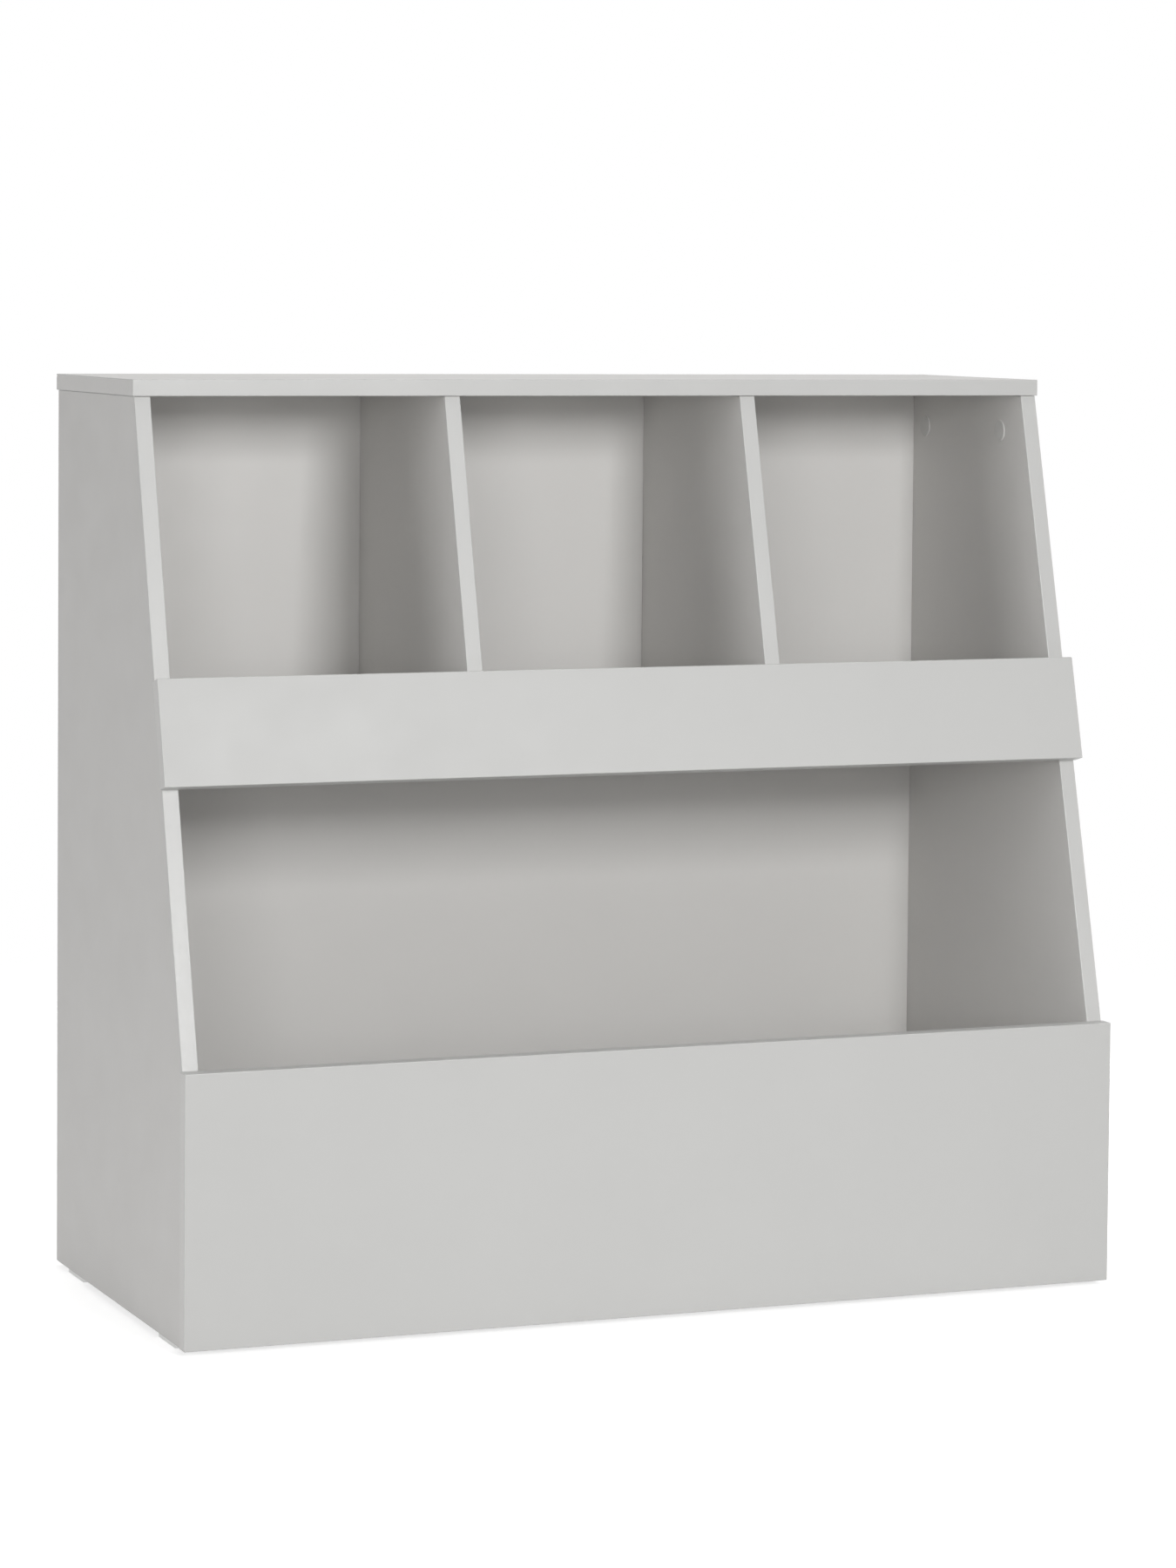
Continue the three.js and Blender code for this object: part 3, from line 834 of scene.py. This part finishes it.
class BROWSERBIN_OT_stage(Operator):
    """Lays the floor, hangs the softboxes and sets the camera"""

    bl_idname = "browser_bin.stage"
    bl_label = "Stage"

    def execute(self, context):
        scene = context.scene
        settings = scene.browser_bin_stage
        scene.view_settings.view_transform = "Standard"
        self.surround(scene, settings)
        self.floor(scene, settings)
        for name, (place, size, power) in SOFTBOXES.items():
            self.softbox(scene, f"{name}_softbox", place, size, power * settings.lamp_level)
        self.camera(scene, settings)
        return {"FINISHED"}

    @staticmethod
    def seen_directly(tree):
        """1 for rays that show the background: straight, reflected or refracted."""
        path = add_node(tree, "ShaderNodeLightPath")
        seen = path.outputs["Is Camera Ray"]
        for ray in ("Is Glossy Ray", "Is Transmission Ray"):
            inputs = {0: seen, 1: path.outputs[ray]}
            seen = add_node(tree, "ShaderNodeMath", inputs, operation="MAXIMUM").outputs["Value"]
        return seen

    def surround(self, scene, settings):
        """A white surround that lights the unit more softly than it shows."""
        world = bpy.data.worlds.new("studio_surround")
        world.use_nodes = True
        scene.world = world
        tree = world.node_tree
        inputs = {"Value": self.seen_directly(tree), "To Min": settings.ambient, "To Max": 1.0}
        strength = add_node(tree, "ShaderNodeMapRange", inputs).outputs["Result"]
        background = tree.nodes["Background"]
        background.inputs["Color"].default_value = (1, 1, 1, 1)
        tree.links.new(strength, background.inputs["Strength"])

    def floor(self, scene, settings):
        """A pale floor that keeps the shadow, is white in the picture and is open from below."""
        form = bmesh.new()
        drop = 0.3 * MM  # keeps it clear of the glides' feet
        bmesh.ops.create_grid(form, x_segments=1, y_segments=1, size=settings.floor_radius)
        bmesh.ops.translate(form, vec=(0, 0, -drop), verts=form.verts)
        mesh = bpy.data.meshes.new("floor")
        form.to_mesh(mesh)
        form.free()
        paint = bpy.data.materials.new("pale_floor")
        paint.use_nodes = True
        tree = paint.node_tree
        tree.nodes.remove(tree.nodes["Principled BSDF"])
        matt = add_node(tree, "ShaderNodeBsdfDiffuse", {"Color": (*settings.floor_colour, 1)})
        inputs = {"Value": self.seen_directly(tree), "To Max": settings.floor_glow}
        glow = add_node(tree, "ShaderNodeMapRange", inputs).outputs["Result"]
        light = add_node(tree, "ShaderNodeEmission", {"Strength": glow})
        top = add_node(tree, "ShaderNodeAddShader", {0: matt.outputs[0], 1: light.outputs[0]})
        place = add_node(tree, "ShaderNodeTexCoord").outputs["Object"]
        away = add_node(tree, "ShaderNodeVectorMath", {0: place}, operation="LENGTH").outputs["Value"]
        inputs = {"Value": away, "From Min": settings.floor_radius / 2, "From Max": settings.floor_radius}
        faded = add_node(tree, "ShaderNodeMapRange", inputs, interpolation_type="SMOOTHSTEP")
        under = add_node(tree, "ShaderNodeNewGeometry").outputs["Backfacing"]
        inputs = {0: faded.outputs["Result"], 1: under}
        gone = add_node(tree, "ShaderNodeMath", inputs, operation="MAXIMUM").outputs["Value"]
        clear = add_node(tree, "ShaderNodeBsdfTransparent").outputs["BSDF"]
        shown = add_node(tree, "ShaderNodeMixShader", {0: gone, 1: top.outputs[0], 2: clear})
        tree.links.new(shown.outputs[0], tree.nodes["Material Output"].inputs["Surface"])
        mesh.materials.append(paint)
        floor = bpy.data.objects.new("floor", mesh)
        scene.collection.objects.link(floor)

    @staticmethod
    def softbox(scene, name, place, size, power):
        """A square softbox that faces the middle of the unit."""
        lamp = bpy.data.lights.new(name, "AREA")
        lamp.size = size
        lamp.energy = power
        box = bpy.data.objects.new(name, lamp)
        box.location = place
        target = (CAD_BOX[0] + CAD_BOX[1]) / 2
        box.rotation_euler = (target - Vector(place)).to_track_quat("-Z", "Y").to_euler()
        box.visible_camera = False
        scene.collection.objects.link(box)

    @staticmethod
    def camera(scene, settings):
        """A long lens to the left of the unit, shifted down to keep its uprights upright."""
        heading, pitch, roll = settings.camera_heading, settings.camera_pitch, settings.camera_roll
        ahead = Vector(
            (
                math.sin(heading) * math.cos(pitch),
                math.cos(heading) * math.cos(pitch),
                math.sin(pitch),
            )
        )
        level = Vector((math.cos(heading), -math.sin(heading), 0))
        below = ahead.cross(level)
        right = level * math.cos(roll) + below * math.sin(roll)
        down = below * math.cos(roll) - level * math.sin(roll)
        turn = Matrix((right, -down, -ahead)).transposed().to_4x4()
        lens = bpy.data.cameras.new("camera")
        lens.lens = settings.camera_lens
        lens.sensor_width = 36
        lens.shift_y = settings.camera_shift
        lens.clip_end = 60
        camera = bpy.data.objects.new("camera", lens)
        camera.matrix_world = Matrix.Translation(settings.camera_place) @ turn
        scene.collection.objects.link(camera)
        scene.camera = camera


OPERATORS = (
    BROWSERBIN_OT_boards,
    BROWSERBIN_OT_cover_caps,
    BROWSERBIN_OT_cam_locks,
    BROWSERBIN_OT_cam_bolts,
    BROWSERBIN_OT_divider_screws,
    BROWSERBIN_OT_divider_dowels,
    BROWSERBIN_OT_glides,
    BROWSERBIN_OT_stage,
)
SETTINGS = {
    "browser_bin_boards": BoardSettings,
    "browser_bin_fittings": FittingSettings,
    "browser_bin_stage": StageSettings,
}


class BROWSERBIN_PT_sidebar(Panel):
    """Lists the settings and the steps that finish the browser bin"""

    bl_idname = "BROWSERBIN_PT_sidebar"
    bl_label = "Browser bin"
    bl_space_type = "VIEW_3D"
    bl_region_type = "UI"
    bl_category = "Browser bin"

    def draw(self, context):
        for key in SETTINGS:
            box = self.layout.box()
            group = getattr(context.scene, key)
            for name in group.__annotations__:
                box.prop(group, name)
        for step in OPERATORS:
            self.layout.operator(step.bl_idname)


CLASSES = (*SETTINGS.values(), *OPERATORS, BROWSERBIN_PT_sidebar)


def register():
    for made in CLASSES:
        bpy.utils.register_class(made)
    for key, group in SETTINGS.items():
        setattr(bpy.types.Scene, key, PointerProperty(type=group))


def unregister():
    for key in SETTINGS:
        delattr(bpy.types.Scene, key)
    for made in reversed(CLASSES):
        bpy.utils.unregister_class(made)


def main():
    register()
    bpy.ops.browser_bin.boards()
    bpy.ops.browser_bin.cover_caps()
    bpy.ops.browser_bin.cam_locks()
    bpy.ops.browser_bin.cam_bolts()
    bpy.ops.browser_bin.divider_screws()
    bpy.ops.browser_bin.divider_dowels()
    bpy.ops.browser_bin.glides()
    bpy.ops.browser_bin.stage()


if __name__ == "__main__":
    main()
